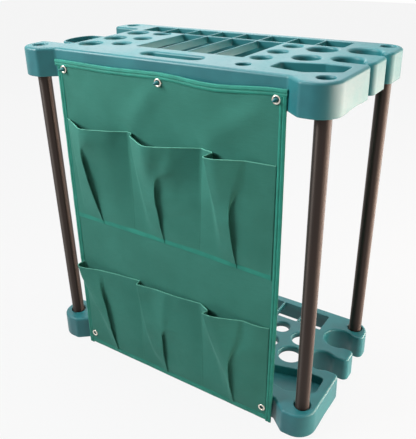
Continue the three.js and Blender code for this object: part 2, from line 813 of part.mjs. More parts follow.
// An eyelet: a crowned ring in front of the cloth, with a barrel through it to the washer behind
function makeEyelet(name, x, z, lift, behind) {
  const flange = (eyeletHoleRadius + eyeletRadius) / 2;
  const seat = -fit - lift;
  const end = layer + behind + washerThickness;
  const profile = [
    new THREE.Vector2(eyeletHoleRadius, end),
    new THREE.Vector2(eyeletHoleRadius, seat - eyeletCrown / 2),
    new THREE.Vector2(flange, seat - eyeletCrown),
    new THREE.Vector2(eyeletRadius, seat - eyeletCrown / 2),
    new THREE.Vector2(eyeletRadius, seat),
    new THREE.Vector2(barrelRadius, seat),
    new THREE.Vector2(barrelRadius, end),
    new THREE.Vector2(eyeletHoleRadius, end),
  ];
  const ring = new THREE.LatheGeometry(profile, eyeletSides);
  const mesh = meshOf(name, solidOf(ring), nickel);
  mesh.position.set(x, panelFront(x, z), z);
  return mesh;
}

function makeWasher(name, x, z, behind) {
  const near = layer + behind;
  const profile = [
    new THREE.Vector2(barrelRadius + fit, near),
    new THREE.Vector2(eyeletRadius, near),
    new THREE.Vector2(eyeletRadius, near + washerThickness),
    new THREE.Vector2(barrelRadius + fit, near + washerThickness),
    new THREE.Vector2(barrelRadius + fit, near),
  ];
  const mesh = meshOf(name, solidOf(new THREE.LatheGeometry(profile, eyeletSides)), nickel);
  mesh.position.set(x, panelFront(x, z), z);
  return mesh;
}

// Every eyelet with its washer: three along the top edge, two through the lower pockets' corners
function makeEyelets() {
  const meshes = [];
  const names = ['top_left', 'top_middle', 'top_right'];
  names.forEach((name, i) => {
    meshes.push(makeEyelet(`${name}_eyelet`, topEyeletXs[i], topEyeletHeight, layer, layer));
    meshes.push(makeWasher(`${name}_washer`, topEyeletXs[i], topEyeletHeight, layer));
  });
  ['lower_left', 'lower_right'].forEach((name, i) => {
    meshes.push(makeEyelet(`${name}_eyelet`, lowEyeletXs[i], lowEyeletHeight, layer + eyeletRelief, 0));
    meshes.push(makeWasher(`${name}_washer`, lowEyeletXs[i], lowEyeletHeight, 0));
  });
  return meshes;
}

// The rack, centred over its own box with its feet at z = 0
const rack = new THREE.Group();
rack.add(makeTopTray(), makeBaseTray());
rack.add(...tubePlaces.map(makeTube));
rack.add(makePanel(), makeUpperPockets(), makeLowerPockets());
rack.add(...makeBindings(), makeSeamTape(), ...makeEyelets());
const reach = new THREE.Box3().setFromObject(rack);
rack.position.set(-(reach.min.x + reach.max.x) / 2, -(reach.min.y + reach.max.y) / 2, -reach.min.z);

export default rack;
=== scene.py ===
# Looks of a freestanding garden tool rack: two moulded trays on four tubes, with a hung pocket panel in front.
# Shapes are worked out in millimetres in the frame's own axes, and become metres when their mesh is made.
import cmath
import math
from collections import namedtuple

import bmesh
import bpy
from mathutils import Matrix, Vector, noise


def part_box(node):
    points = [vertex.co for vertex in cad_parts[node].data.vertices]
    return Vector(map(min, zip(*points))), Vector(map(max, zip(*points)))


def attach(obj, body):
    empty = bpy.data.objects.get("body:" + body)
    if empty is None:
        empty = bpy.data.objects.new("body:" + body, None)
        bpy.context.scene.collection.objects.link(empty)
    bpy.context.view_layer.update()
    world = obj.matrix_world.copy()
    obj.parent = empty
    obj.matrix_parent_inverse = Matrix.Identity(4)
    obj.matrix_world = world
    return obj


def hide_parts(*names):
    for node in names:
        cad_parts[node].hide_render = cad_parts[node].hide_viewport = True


MM = 0.001

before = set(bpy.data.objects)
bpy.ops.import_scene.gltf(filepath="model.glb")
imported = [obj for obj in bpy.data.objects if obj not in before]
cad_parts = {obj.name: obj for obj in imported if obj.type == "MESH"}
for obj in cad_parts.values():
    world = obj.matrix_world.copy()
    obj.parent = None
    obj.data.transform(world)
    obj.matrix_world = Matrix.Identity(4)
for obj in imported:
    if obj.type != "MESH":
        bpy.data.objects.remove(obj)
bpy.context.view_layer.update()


def extent(node):
    """The lowest and highest corner of a CAD node, in millimetres."""
    low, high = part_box(node)
    return low / MM, high / MM


# Places read from the frame
FRONT_LEFT, FRONT_LEFT_TOP = extent("front_left_tube")
BACK_RIGHT = extent("back_right_tube")[0]
TUBE_RADIUS = (FRONT_LEFT_TOP.x - FRONT_LEFT.x) / 2
TUBE_LOW, TUBE_HIGH = FRONT_LEFT.z, FRONT_LEFT_TOP.z
TUBE_X = BACK_RIGHT.x + TUBE_RADIUS
FRONT_Y = FRONT_LEFT.y + TUBE_RADIUS
BACK_Y = BACK_RIGHT.y + TUBE_RADIUS
SPAN_Y = BACK_Y - FRONT_Y
TOP_LOW, TOP_HIGH = extent("top_tray")
TRAY_HEIGHT = TOP_HIGH.z - TOP_LOW.z
PANEL_LOW, PANEL_HIGH = extent("pocket_panel")
UPPER_LOW, UPPER_HIGH = extent("upper_pocket_strip")
LOWER_LOW, LOWER_HIGH = extent("lower_pocket_strip")

# Trays: wall, outline and sockets
WALL_DRAFT = 1
TRAY_WALL = 3
DECK = 3
EDGE_RADIUS = 6
FOOT_RADIUS = 1
RIGHT_FACE = TOP_HIGH.x - WALL_DRAFT
BACK_FACE = TOP_HIGH.y - WALL_DRAFT
LOBE_FRONT = TOP_LOW.y + WALL_DRAFT
RECESS_FRONT = FRONT_Y - 14
LOBE_FRONT_END = 29
RECESS_END = 60
LEFT_RECESS_X = 50 - TUBE_X
LOBE_INNER_REACH = 40
LOBE_CORNER_RADIUS = 42
BACK_CORNER_RADIUS = 44
LIP_RADIUS = 12
NECK_RADIUS = 14
BEND_RADIUS = 12
SOCKET_WALL = 3
SOCKET_FIT = 0.5
BORE_RADIUS = TUBE_RADIUS + SOCKET_FIT
MOUTH_RADIUS = 18.2
MOUTH_DEPTH = 9
MOUTH_FLARE = 6
LEDGE = 3
LEDGE_RADIUS = 11
CUP_FLOOR = 3
GUSSET = 2.5
GUSSET_LIFT = 6

# Trays: holes
COLLAR_DEPTH = 15
COLLAR_WALL = 2.5
RIM_FLARE = 5
ROW_FLARE = 1.5
RIB = 4.2
SLOT_RADIUS = 2
SLOT_PITCH = 66
SLOT_COUNT = 4
SLOT_START = 82
CELL_PITCH = 65.5
CELL_COUNT = 8
CELL_DEPTH = 62
CELL_BACK_REACH = 7
CROSS_RIB = 6
GRIP = (143, 37, 33, 18)
LEFT_COLUMNS = ((90, 25, (0.2, 0.456, 0.712)), (153, 20, (0.297, 0.525, 0.753)))
RIGHT_SMALL_RADIUS = 20
LONE_HOLE = (14, 28)
TOP_SIDE = {
    "small": (170, (0.304, 0.519, 0.734)),
    "large": ((95, 0.424, 26), (102, 0.712, 30)),
    "keyholes": ((23, 0.494, 28, (-1, -0.36)), (23, 0.782, 31, (-1, 0.06))),
}
BASE_SIDE = {
    "small": (161, (0.297, 0.5, 0.703)),
    "large": ((95, 0.43, 28), (96, 0.646, 25)),
    "keyholes": ((23, 0.494, 33, (-0.79, 0.79)), (18, 0.804, 35, (-0.8, 0.71))),
}
RECESS_BOX = (119, 0.06, 128, 0.253)
RECESS_SHARES = ((0, 0.16), (0.54, 0), (1, 0.36), (0.99, 1), (0.6, 1), (0, 0.74))
RECESS_CORNER = 9
RECESS_FLOOR = 22
RECESS_COLLAR = 28
ARCH = (12, 86, 3, 32)
LOOP = (49, 98, 21, 29)
LOOP_WALL = 4
LOOP_HEIGHT = 30
PEG_RADIUS = 3.9
PEG_TIP_RADIUS = 0.9
PEG_LENGTH = 21
PEG_CONE = 11
STUD_CHAMFER = 0.6
PEG_SIDES = 32

# Tubes
TUBE_WALL = 1.2
TUBE_EDGE = 0.4

# Fineness
PANEL_ROWS = 146
POCKET_ROWS = 72
ARC_SAG = 0.04
EDGE_STEPS = 7
RIM_STEPS = 5
ROUND_SIDES = 64
SHARP_ANGLE = 42
OVERRUN = 5


def arc_step(radius):
    return 2 * math.acos(1 - min(ARC_SAG / radius, 0.5))


def unit(vector):
    return vector / abs(vector)


def dot(a, b):
    return (a * b.conjugate()).real


def inset(outline, distance):
    """An anticlockwise outline of complex points, moved inwards."""
    moved = []
    for i, point in enumerate(outline):
        arriving = unit(point - outline[i - 1])
        leaving = unit(outline[(i + 1) % len(outline)] - point)
        moved.append(point + (arriving + leaving) * 1j * distance / (1 + dot(arriving, leaving)))
    return moved


def shares(count):
    """Even shares from 0 to 1, or a lone 0."""
    return [k / max(count, 1) for k in range(count + 1)]


def arc(centre, spoke, turn):
    """An arc's points, from the end of a spoke on."""
    steps = math.ceil(abs(turn) / arc_step(abs(spoke)))
    return [centre + spoke * cmath.rect(1, turn * share) for share in shares(steps)]


def rounded(corners):
    """An outline from corners (x, y, radius), with an arc at each corner whose radius isn't zero."""
    outline = []
    for i, (x, y, radius) in enumerate(corners):
        corner = complex(x, y)
        if not radius:
            outline.append(corner)
            continue
        arriving = unit(corner - complex(*corners[i - 1][:2]))
        leaving = unit(complex(*corners[(i + 1) % len(corners)][:2]) - corner)
        turn = math.atan2((arriving.conjugate() * leaving).imag, dot(arriving, leaving))
        start = corner - arriving * radius * math.tan(abs(turn) / 2)
        spoke = arriving * -1j * math.copysign(radius, turn)
        outline += arc(start - spoke, spoke, turn)
    return outline


def spokes(count, first=0):
    """Unit vectors round a full turn."""
    return [cmath.rect(1, 2 * math.pi * (k + first) / count) for k in range(count)]


def circle(x, y, radius, sides=0):
    sides = sides or math.ceil(2 * math.pi / arc_step(radius))
    return [complex(x, y) + radius * spoke for spoke in spokes(sides, 0.5)]


def rectangle(left, front, right, back, radius=0):
    return rounded([(left, front, radius), (right, front, radius), (right, back, radius), (left, back, radius)])


def depth_at(share):
    return FRONT_Y + SPAN_Y * share


def linked(name, data):
    made = bpy.data.objects.new(name, data)
    bpy.context.scene.collection.objects.link(made)
    return made


def new_object(name, points, faces):
    """A mesh object from points in millimetres."""
    mesh = bpy.data.meshes.new(name)
    mesh.from_pydata([[c * MM for c in p] for p in points], [], faces)
    mesh.update()
    return linked(name, mesh)


def ring_faces(rings, count, first=0):
    """Quads between rings of count points each."""
    starts = range(first, first + (rings - 1) * count, count)
    sides = [(i, (i + 1) % count) for i in range(count)]
    return [(low + i, low + j, low + count + j, low + count + i) for low in starts for i, j in sides]


def closed_faces(rings, count, first=0):
    """The faces of a closed body: the quads between its rings, and a cap on either end."""
    last = first + (rings - 1) * count
    caps = [range(first, first + count)[::-1], range(last, last + count)]
    return ring_faces(rings, count, first) + caps


def facing_out(made, triangulate_over=0):
    """The object with its faces turned outwards, and those with more corners than a number split up."""
    bm = bmesh.new()
    bm.from_mesh(made.data)
    bmesh.ops.recalc_face_normals(bm, faces=bm.faces)
    if triangulate_over:
        bmesh.ops.triangulate(bm, faces=[f for f in bm.faces if len(f.verts) > triangulate_over])
    bm.to_mesh(made.data)
    bm.free()
    return made


def stacked(*bodies):
    """One object from closed bodies that don't touch each other: each is a list of levels (outline, height)."""
    points, faces = [], []
    for levels in bodies:
        faces += closed_faces(len(levels), len(levels[0][0]), len(points))
        points += [(p.real, p.imag, z) for outline, z in levels for p in outline]
    return new_object("tool", points, faces)


def prism(outline, low, high):
    return stacked([(outline, low), (outline, high)])


def stacked_forward(*bodies):
    """Bodies as in stacked(), turned so that their levels follow -Y and their outlines are in X and Z."""
    tool = stacked(*bodies)
    tool.data.transform(Matrix(((1, 0, 0, 0), (0, 0, -1, 0), (0, 1, 0, 0), (0, 0, 0, 1))))
    return tool


def applied(made):
    """The object with its modifiers applied to its mesh."""
    graph = bpy.context.evaluated_depsgraph_get()
    mesh = bpy.data.meshes.new_from_object(made.evaluated_get(graph))
    made.modifiers.clear()
    old, made.data = made.data, mesh
    bpy.data.meshes.remove(old)
    return made


def combine(body, operation, *tools):
    """The body joined with or cut by each tool in turn; the tools are removed."""
    for tool in tools:
        step = body.modifiers.new(operation, "BOOLEAN")
        step.operation = operation
        step.solver = "MANIFOLD"
        step.object = tool
    applied(body)
    for tool in tools:
        bpy.data.objects.remove(tool)
    return body


def neck_fillet(reach, radius, lip):
    """Where a keyhole's eye turns into its lip: the eye's angle there, and the soft corner's points beyond it."""
    soft = NECK_RADIUS
    if radius > lip:
        soft = min(soft, 0.48 * (reach * reach / (radius - lip) - radius - lip))
    middle = math.sqrt((radius + soft) ** 2 - (lip + soft) ** 2)
    start = math.atan2(lip + soft, middle)
    return start, arc(complex(middle, lip + soft), cmath.rect(-soft, start), math.pi / 2 - start)[1:]


def keyhole_corners(hole):
    """In along the keyhole's lower lip, round its eye, and out along its upper lip."""
    eye_inset, share, radius, (low, high) = hole
    x, y = TUBE_X - eye_inset, depth_at(share)
    reach = RIGHT_FACE - LIP_RADIUS - x
    low_start, low_neck = neck_fillet(reach, radius, -radius * low)
    high_start, high_neck = neck_fillet(reach, radius, radius * high)
    line = [p.conjugate() for p in reversed(low_neck)]
    line += arc(0, cmath.rect(radius, -low_start), low_start + high_start - 2 * math.pi) + high_neck
    low_lip, high_lip = ((RIGHT_FACE, y + radius * lip, LIP_RADIUS) for lip in (low, high))
    return [low_lip, *((x + p.real, y + p.imag, 0) for p in line), high_lip]


def tray_outline(side):
    front = [
        (TUBE_X - RECESS_END, RECESS_FRONT, BEND_RADIUS),
        (TUBE_X - LOBE_FRONT_END, LOBE_FRONT, BEND_RADIUS),
        (RIGHT_FACE, LOBE_FRONT, LOBE_CORNER_RADIUS),
    ]
    corners = [(-x, y, radius) for x, y, radius in reversed(front)] + front
    for hole in side["keyholes"]:
        corners += keyhole_corners(hole)
    corners += [(x, BACK_FACE, BACK_CORNER_RADIUS) for x in (RIGHT_FACE, -RIGHT_FACE)]
    low, high = FRONT_Y + LOBE_INNER_REACH, BACK_Y - LOBE_INNER_REACH
    recess = [(-RIGHT_FACE, high), (LEFT_RECESS_X, high), (LEFT_RECESS_X, low), (-RIGHT_FACE, low)]
    return rounded(corners + [(x, y, LIP_RADIUS) for x, y in recess])


def quarter(steps):
    """Sine and one minus cosine along a quarter turn."""
    for k in range(1, steps + 1):
        angle = math.pi / 2 * k / steps
        yield math.sin(angle), 1 - math.cos(angle)


def rolled_edge(outline, radius, steps):
    """Levels that round an outline over at the deck: inwards, or outwards where the radius is negative."""
    return [
        (inset(outline, radius * across), TRAY_HEIGHT - abs(radius) * (1 - rise)) for rise, across in quarter(steps)]


def tray_shell(outline):
    levels = [(inset(outline, FOOT_RADIUS - WALL_DRAFT), 0), (inset(outline, -WALL_DRAFT), FOOT_RADIUS)]
    levels.append((outline, TRAY_HEIGHT - EDGE_RADIUS))
    outside = stacked(levels + rolled_edge(outline, EDGE_RADIUS, EDGE_STEPS))
    inside = [(inset(outline, TRAY_WALL - WALL_DRAFT), -OVERRUN), (inset(outline, TRAY_WALL), TRAY_HEIGHT - DECK)]
    return combine(outside, "DIFFERENCE", stacked(inside))


def hole_cutter(outline, flare, low=-OVERRUN):
    """Levels that cut one hole, with its rim rounded over."""
    levels = [(outline, low), (outline, TRAY_HEIGHT - flare)] + rolled_edge(outline, -flare, RIM_STEPS)
    return levels + [(levels[-1][0], TRAY_HEIGHT + OVERRUN)]


def hole_collar(outline, depth=COLLAR_DEPTH):
    return prism(inset(outline, -COLLAR_WALL), TRAY_HEIGHT - depth, TRAY_HEIGHT - DECK / 2)


def opening_rows():
    """The block and the openings of the long slots, then of the cells behind them."""
    back = BACK_Y + CELL_BACK_REACH
    front = back - CELL_DEPTH
    rows = []
    for count, pitch, low, high in (
        (SLOT_COUNT, SLOT_PITCH, FRONT_Y + SLOT_START, front - CROSS_RIB),
        (CELL_COUNT, CELL_PITCH, front, back),
    ):
        end = count * pitch / 2
        lefts = [i * pitch - end + RIB / 2 for i in range(count)]
        cuts = [rectangle(left, low, left + pitch - RIB, high, SLOT_RADIUS) for left in lefts]
        rows.append((rectangle(-end, low - COLLAR_WALL, end, high + COLLAR_WALL), cuts))
    return rows


def round_holes(side):
    """Outline and flare of every hole with a collar of its own."""
    small_inset, small_depths = side["small"]
    columns = [(across - TUBE_X, radius, depths) for across, radius, depths in LEFT_COLUMNS]
    columns.append((TUBE_X - small_inset, RIGHT_SMALL_RADIUS, small_depths))
    columns += [(TUBE_X - across, radius, (share,)) for across, share, radius in side["large"]]
    holes = [(circle(x, depth_at(share), radius), RIM_FLARE) for x, radius, depths in columns for share in depths]
    lone_radius, lone_start = LONE_HOLE
    holes.append((circle(TUBE_X - small_inset, FRONT_Y + lone_start, lone_radius), RIM_FLARE / 2))
    length, width, middle, corner = GRIP
    low, high = FRONT_Y + middle - width / 2, FRONT_Y + middle + width / 2
    holes.append((rectangle(-length / 2, low, length / 2, high, corner), RIM_FLARE))
    return holes


def corner_recess():
    across, start, length, depth = RECESS_BOX
    left = TUBE_X - across
    return rounded([(left + a * length, depth_at(start + b * depth), RECESS_CORNER) for a, b in RECESS_SHARES])


def socket_parts(x, y):
    """The boss round a tube, and its two gussets to the outer walls."""
    boss = circle(x, y, BORE_RADIUS + SOCKET_WALL, ROUND_SIDES)
    wall_x = math.copysign(RIGHT_FACE - 0.8 * TRAY_WALL, x)
    wall_y = LOBE_FRONT + 0.8 * TRAY_WALL if y < 0 else BACK_FACE - 0.8 * TRAY_WALL
    across = rectangle(min(x, wall_x), y - GUSSET / 2, max(x, wall_x), y + GUSSET / 2)
    along = rectangle(x - GUSSET / 2, min(y, wall_y), x + GUSSET / 2, max(y, wall_y))
    gussets = [prism(outline, GUSSET_LIFT, TRAY_HEIGHT - DECK) for outline in (across, along)]
    return [prism(boss, 0, TRAY_HEIGHT - DECK / 2)] + gussets


def top_socket(x, y):
    bore, ledge, mouth = (circle(x, y, r, ROUND_SIDES) for r in (BORE_RADIUS, LEDGE_RADIUS, MOUTH_RADIUS))
    seat = TRAY_HEIGHT - MOUTH_DEPTH
    levels = [(bore, -OVERRUN), (bore, seat - LEDGE), (ledge, seat - LEDGE), (ledge, seat), (bore, seat)]
    for rise, across in quarter(RIM_STEPS):
        wide = BORE_RADIUS + (MOUTH_RADIUS - BORE_RADIUS) * across
        levels.append((circle(x, y, wide, ROUND_SIDES), TRAY_HEIGHT - MOUTH_FLARE * (1 - rise)))
    return levels + [(mouth, TRAY_HEIGHT + OVERRUN)]


def cup_socket(x, y):
    bore, mouth, wide = (circle(x, y, r, ROUND_SIDES) for r in (BORE_RADIUS, MOUTH_RADIUS, MOUTH_RADIUS + 1))
    levels = [(bore, CUP_FLOOR), (bore, TRAY_HEIGHT - MOUTH_DEPTH)]
    levels += [(mouth, TRAY_HEIGHT - MOUTH_DEPTH / 2), (mouth, TRAY_HEIGHT - 1)]
    return levels + [(wide, TRAY_HEIGHT), (wide, TRAY_HEIGHT + OVERRUN)]


def wall_arch():
    """A cylinder along X that lightens the lower edge of the right wall."""
    start, length, height, reach = ARCH
    half = length / 2
    radius = (half * half + height * height) / (2 * height)
    round_wall = circle(start + half + FRONT_Y, height - radius, radius)
    tool = prism(round_wall, RIGHT_FACE - reach, RIGHT_FACE + reach)
    tool.data.transform(Matrix(((0, 0, 1, 0), (1, 0, 0, 0), (0, 1, 0, 0), (0, 0, 0, 1))))
    return tool


def side_loop():
    """The open loop on the left edge: its outside and what is cut from it."""
    start, length, flank, bow = LOOP
    middle = FRONT_Y + start + length / 2
    centre = complex(LEFT_RECESS_X - flank, middle)
    root = LEFT_RECESS_X + TRAY_WALL / 2
    half_turn = [p / bow for p in arc(0, 1j * bow, math.pi)]
    low, high, edge = TRAY_HEIGHT - LOOP_HEIGHT, TRAY_HEIGHT - 0.3, 1.2

    def curve(shrink):
        half = length / 2 - shrink
        bowed = [centre + complex((bow - shrink) * p.real, half * p.imag) for p in half_turn]
        return [complex(root, middle + half), *bowed, complex(root, middle - half)]

    def levels(shrink, soft_shrink, reach):
        wide, soft = curve(shrink), curve(soft_shrink)
        return [(soft, low - reach), (wide, low + edge), (wide, high - edge), (soft, high + reach)]

    hollow = stacked(levels(LOOP_WALL, LOOP_WALL - edge, 1))
    return combine(stacked(levels(0, edge, 0)), "DIFFERENCE", hollow)


def forward_peg(x, z, length, cone):
    """A round bar that points forward out of the front wall."""
    root, tip = RECESS_FRONT + TRAY_WALL / 2, RECESS_FRONT - length
    outline = circle(x, z, PEG_RADIUS, PEG_SIDES)
    levels = [(outline, -root), (outline, -tip - cone)]
    for share in shares(5)[1:]:
        taper = (PEG_RADIUS - PEG_TIP_RADIUS) * share ** 1.4 if cone == PEG_CONE else cone * share
        levels.append((circle(x, z, PEG_RADIUS - taper, PEG_SIDES), -tip - cone * (1 - share)))
    return stacked_forward(levels)


TUBE_PLACES = [(x * TUBE_X, y) for y in (FRONT_Y, BACK_Y) for x in (-1, 1)]


def tray_body(name, side, socket, recess_floor):
    """A tray with its foot at z = 0: shell, collars and sockets joined, then every hole cut."""
    rows = opening_rows()
    holes = round_holes(side)
    recess = corner_recess()
    solids = [prism(block, TRAY_HEIGHT - COLLAR_DEPTH, TRAY_HEIGHT - DECK / 2) for block, _ in rows]
    solids += [hole_collar(outline) for outline, _ in holes]
    solids.append(hole_collar(recess, recess_floor + DECK if recess_floor else RECESS_COLLAR))
    for x, y in TUBE_PLACES:
        solids += socket_parts(x, y)
    cuts = [hole_cutter(outline, ROW_FLARE) for _, outlines in rows for outline in outlines]
    cuts += [hole_cutter(outline, flare) for outline, flare in holes]
    cuts.append(hole_cutter(recess, RIM_FLARE / 2, TRAY_HEIGHT - recess_floor if recess_floor else -OVERRUN))
    cuts += [socket(x, y) for x, y in TUBE_PLACES]
    body = combine(tray_shell(tray_outline(side)), "UNION", *solids)
    combine(body, "DIFFERENCE", stacked(*cuts), wall_arch())
    body.name = name
    return body


def dress(made, material, slot, *nodes, sharp=SHARP_ANGLE):
    """Shades a finished piece smooth up to an angle in degrees, gives it its material, hangs it under the root and
    hides the nodes it stands for; the slot is not used.
    """
    mesh = made.data
    mesh.shade_smooth()
    mesh.set_sharp_from_angle(angle=math.radians(sharp))
    weigh = made.modifiers.new("flat faces stay flat", "WEIGHTED_NORMAL")
    weigh.keep_sharp = True
    weigh.weight = 100
    mesh.materials.clear()
    mesh.materials.append(material)
    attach(made, "root")
    if nodes:
        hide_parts(*nodes)
    return made


def plug(tree, socket, value):
    """Sets an input socket to a plain value, or links another node's output to it."""
    if isinstance(value, (int, float, tuple)):
        socket.default_value = value
    else:
        tree.links.new(value, socket)


def add_node(tree, kind, inputs=(), **settings):
    """The outputs of a new shader node, with its settings made and its inputs plugged by name or number."""
    node = tree.nodes.new("ShaderNode" + kind)
    for name, value in settings.items():
        setattr(node, name, value)
    for key, value in dict(inputs).items():
        plug(tree, node.inputs[key], value)
    return node.outputs


class Shader:
    """A material's node tree with short calls for the nodes that this file uses."""

    def __init__(self, name):
        self.material = bpy.data.materials.new(name)
        self.material.use_nodes = True
        self.tree = self.material.node_tree
        self.bsdf = self.tree.nodes["Principled BSDF"]
        self.place = add_node(self.tree, "TexCoord")["Object"]

    def noise(self, scale, detail=3, rough=0.5, place=None):
        inputs = {"Vector": place or self.place, "Scale": scale, "Detail": detail, "Roughness": rough}
        return add_node(self.tree, "TexNoise", inputs)["Fac"]

    def stretch(self, x, y, z):
        return add_node(self.tree, "Mapping", {"Vector": self.place, "Scale": (x, y, z)})["Vector"]

    def sums(self, operation, *values):
        return add_node(self.tree, "Math", enumerate(values), operation=operation)[0]

    def span(self, value, low, high, to_low=0, to_high=1):
        ends = (value, low, high, to_low, to_high)
        return add_node(self.tree, "MapRange", enumerate(ends), interpolation_type="SMOOTHSTEP")[0]

    def mix(self, share, a, b):
        return add_node(self.tree, "Mix", {0: share, 6: a, 7: b}, data_type="RGBA")[2]

    def bump(self, height, strength, distance):
        inputs = {"Strength": strength, "Distance": distance, "Height": height}
        normal = self.bsdf.inputs["Normal"]
        if normal.is_linked:
            inputs["Normal"] = normal.links[0].from_socket
        plug(self.tree, normal, add_node(self.tree, "Bump", inputs)["Normal"])

    def set(self, **values):
        for name, value in values.items():
            plug(self.tree, self.bsdf.inputs[name.replace("_", " ")], value)
        return self.material


def colour(red, green, blue):
    """A colour written as 0 to 255 display values, as the shader's linear ones."""
    linear = [((c / 255 + 0.055) / 1.055) ** 2.4 for c in (red, green, blue)]
    return (*linear, 1)


def plastic_material():
    """Moulded polypropylene: fine spark-eroded grain, faint flow mottling, rubbed edges."""
    s = Shader("tray plastic")
    mottle = s.noise(14, 4)
    scuff = s.noise(90, 5, 0.65, s.stretch(1, 1, 4))
    base = s.mix(s.span(mottle, 0.3, 0.7), colour(28, 106, 112), colour(38, 120, 124))
    base = s.mix(s.span(scuff, 0.62, 0.8, 0, 0.3), base, colour(60, 118, 122))
    s.bump(s.noise(1500, 2), 0.25, 0.0002)
    s.bump(mottle, 0.15, 0.002)
    rough = s.sums("ADD", s.span(mottle, 0.3, 0.7, 0.38, 0.46), s.span(scuff, 0.5, 0.8, 0, 0.1))
    return s.set(Base_Color=base, Roughness=rough, Specular_IOR_Level=0.55)


def steel_material():
    """Satin powder coat, near black, with orange-peel and faint lengthwise rubbing."""
    s = Shader("powder coat")
    streak = s.noise(60, 4, 0.6, s.stretch(6, 6, 0.25))
    base = s.mix(s.span(streak, 0.35, 0.75), colour(14, 8, 10), colour(26, 15, 15))
    s.bump(s.noise(700, 2), 0.2, 0.0003)
    return s.set(
        Base_Color=base, Roughness=s.span(streak, 0.3, 0.8, 0.46, 0.56),
        Specular_IOR_Level=0.55, Specular_Tint=(1, 0.8, 0.68, 1), Anisotropic=0.9, Anisotropic_Rotation=0.25,
        Sheen_Weight=0.4, Sheen_Roughness=0.3, Sheen_Tint=(1, 0.8, 0.66, 1))


def weave_height(s, pitch):
    """A plain weave: over and under waves of crossed threads, from the sheet's x and z."""
    x, _, z = add_node(s.tree, "SeparateXYZ", {0: s.place})
    turn = 2 * math.pi / (pitch * MM)
    warp, weft = (s.sums("SINE", s.sums("MULTIPLY", along, turn)) for along in (x, z))
    return s.sums("MULTIPLY", warp, weft)


def cloth_material():
    """Woven polyester: matt, with its weave, thread variation and soft wear; the weave's raised crests carry a
    painted highlight.
    """
    s = Shader("woven polyester")
    weave = weave_height(s, 1.3)
    slub = s.noise(160, 3, 0.6, s.stretch(0.4, 0.4, 6))
    shade = s.noise(9)
    base = s.mix(s.span(shade, 0.3, 0.7), colour(42, 120, 103), colour(54, 133, 116))
    base = s.mix(s.span(slub, 0.35, 0.75, 0, 0.3), base, colour(36, 101, 86))
    # painted highlight: the weave's raised crests are mixed towards a paler green, as if catching the light
    base = s.mix(s.span(weave, -1, 1, 0, 0.22), base, colour(98, 162, 144))
    s.bump(weave, 0.5, 0.0003)
    s.bump(slub, 0.3, 0.0004)
    return s.set(
        Base_Color=base, Roughness=0.82, Specular_IOR_Level=0.35, Sheen_Weight=0.15, Sheen_Roughness=0.5,
        Sheen_Tint=(0.55, 0.85, 0.78, 1))


def tape_material():
    """Folded binding tape: a tighter, smoother weave with a little gloss, and a painted highlight on the weave's
    raised crests.
    """
    s = Shader("binding tape")
    ribs = weave_height(s, 0.9)
    shade = s.noise(30)
    base = s.mix(s.span(shade, 0.3, 0.7), colour(18, 126, 107), colour(32, 143, 122))
    # painted highlight: the raised ribs of the weave are mixed towards a paler green
    base = s.mix(s.span(ribs, -1, 1, 0, 0.12), base, colour(80, 182, 160))
    s.bump(ribs, 0.35, 0.0002)
    return s.set(Base_Color=base, Roughness=0.6, Specular_IOR_Level=0.4, Sheen_Weight=0.15, Sheen_Roughness=0.4)


def hem_material():
    """The rolled edge of the pocket cloth, paler than the face."""
    s = Shader("pocket hem")
    hem_tone = s.noise(260)
    s.bump(s.noise(1400, 2), 0.3, 0.0002)
    # hem colour: two pale tones mixed by noise, paler than the cloth's face
    base = s.mix(hem_tone, colour(88, 164, 142), colour(112, 184, 162))
    return s.set(Base_Color=base, Roughness=0.7, Specular_IOR_Level=0.3)


def thread_material():
    s = Shader("sewing thread")
    twist = s.noise(2500, 1)
    base = s.mix(twist, colour(40, 130, 110), colour(74, 160, 138))
    s.bump(twist, 0.4, 0.0001)
    return s.set(Base_Color=base, Roughness=0.55)


def nickel_material():
    """Plated eyelets: bright, with fine brushed rings and a few dull patches."""
    s = Shader("nickel")
    dull = s.noise(320, 4)
    base = s.mix(s.span(dull, 0.4, 0.7), colour(222, 216, 204), colour(196, 188, 174))
    s.bump(s.noise(3000, 1), 0.1, 0.0001)
    return s.set(Base_Color=base, Metallic=1, Roughness=s.span(dull, 0.3, 0.75, 0.18, 0.34))


PLASTIC = plastic_material()
STEEL = steel_material()
CLOTH = cloth_material()
TAPE = tape_material()
HEM = hem_material()
THREAD = thread_material()
NICKEL = nickel_material()

# Hung panel and its bindings
CLOTH_THICK = 1
PANEL_FRONT_AT_TOP = PANEL_HIGH.y - CLOTH_THICK
PANEL_LEAN = PANEL_FRONT_AT_TOP - PANEL_LOW.y
PANEL_MIDDLE = (PANEL_LOW.x + PANEL_HIGH.x) / 2
TOP_WAVE = 4
TOP_WAVE_FADE = 150
TOP_SAG = 6
LEFT_BOW_SHARE = 0.3
GAP = 0.3
LAYER = CLOTH_THICK + GAP
EYELET_NAMES = ("top_left", "top_middle", "top_right", "lower_left", "lower_right")


def eyelet_place(name):
    """The x and z of an eyelet's middle, from its washer in the frame."""
    low, high = extent(f"{name}_washer")
    return (low.x + high.x) / 2, (low.z + high.z) / 2


EYELETS = {name: eyelet_place(name) for name in EYELET_NAMES}
TOP_EYELET_XS = [EYELETS[name][0] for name in EYELET_NAMES[:3]]
EYELET_RADIUS = 8.4
EYELET_HOLE = 4.6
BARREL_RADIUS = EYELET_HOLE + 0.7
BARREL_CUT = BARREL_RADIUS + 0.1
SEAM_XS = [UPPER_LOW.x + (UPPER_HIGH.x - UPPER_LOW.x) * share for share in (0, 0.333, 0.675, 1)]

# Soft pulls in the panel: from a point, to a point, height, width
PULLS = (
    ((EYELETS["top_middle"], (SEAM_XS[1], UPPER_HIGH.z + 14)), 5, 24),
    ((EYELETS["top_right"], (SEAM_XS[2] + 4, UPPER_HIGH.z + 10)), 5.5, 25),
    ((EYELETS["top_left"], (SEAM_XS[1] - 20, UPPER_HIGH.z - 10)), 2, 22),
)


def waves(x, y, z):
    return noise.noise(Vector((x, y, z)))


def clamped(share):
    return min(max(share, 0), 1)


